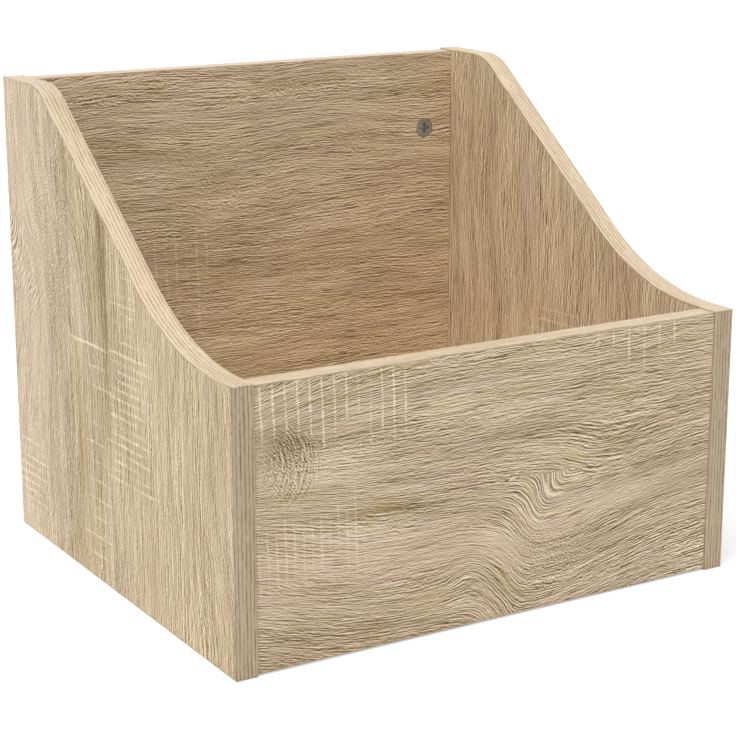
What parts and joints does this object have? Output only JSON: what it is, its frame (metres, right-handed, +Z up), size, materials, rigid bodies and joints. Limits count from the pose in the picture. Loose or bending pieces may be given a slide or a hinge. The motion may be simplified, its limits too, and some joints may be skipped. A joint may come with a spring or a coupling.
{
  "type": "record storage stand",
  "caption": "Open-topped free-standing box for upright records, with side panels that sweep down in an S-curve from a tall back to a low front, in oak-decor board with edge bands.",
  "frame": {"origin": "on the floor, under the middle of the stand's footprint", "axes": "+Z up, the low front faces -Y, width along X"},
  "size_m": [0.375, 0.335, 0.325],
  "materials": {
    "decor_board": "satin",
    "edge_band": "satin",
    "die_cast_zinc": "satin",
    "plated_steel": "satin",
    "beech": "matte"
  },
  "bodies": {
    "root": {"back_left_lower_cam": "die_cast_zinc", "back_left_lower_cam_bolt": "plated_steel", "back_left_lower_dowel": "beech", "back_left_upper_cam": "die_cast_zinc", "back_left_upper_cam_bolt": "plated_steel", "back_left_upper_dowel": "beech", "back_panel": "decor_board", "back_panel_bottom_band": "edge_band", "back_panel_top_band": "edge_band", "back_right_lower_cam": "die_cast_zinc", "back_right_lower_cam_bolt": "plated_steel", "back_right_lower_dowel": "beech", "back_right_upper_cam": "die_cast_zinc", "back_right_upper_cam_bolt": "plated_steel", "back_right_upper_dowel": "beech", "bottom_back_left_dowel": "beech", "bottom_back_right_dowel": "beech", "bottom_front_left_dowel": "beech", "bottom_front_right_dowel": "beech", "bottom_left_back_cam": "die_cast_zinc", "bottom_left_back_cam_bolt": "plated_steel", "bottom_left_dowel": "beech", "bottom_left_front_cam": "die_cast_zinc", "bottom_left_front_cam_bolt": "plated_steel", "bottom_panel": "decor_board", "bottom_right_back_cam": "die_cast_zinc", "bottom_right_back_cam_bolt": "plated_steel", "bottom_right_dowel": "beech", "bottom_right_front_cam": "die_cast_zinc", "bottom_right_front_cam_bolt": "plated_steel", "front_left_cam": "die_cast_zinc", "front_left_cam_bolt": "plated_steel", "front_left_lower_dowel": "beech", "front_left_upper_dowel": "beech", "front_panel": "decor_board", "front_panel_bottom_band": "edge_band", "front_panel_top_band": "edge_band", "front_right_cam": "die_cast_zinc", "front_right_cam_bolt": "plated_steel", "front_right_lower_dowel": "beech", "front_right_upper_dowel": "beech", "left_side_back_band": "edge_band", "left_side_bottom_band": "edge_band", "left_side_front_band": "edge_band", "left_side_panel": "decor_board", "left_side_top_band": "edge_band", "right_side_back_band": "edge_band", "right_side_bottom_band": "edge_band", "right_side_front_band": "edge_band", "right_side_panel": "decor_board", "right_side_top_band": "edge_band"}
  },
  "joints": []
}
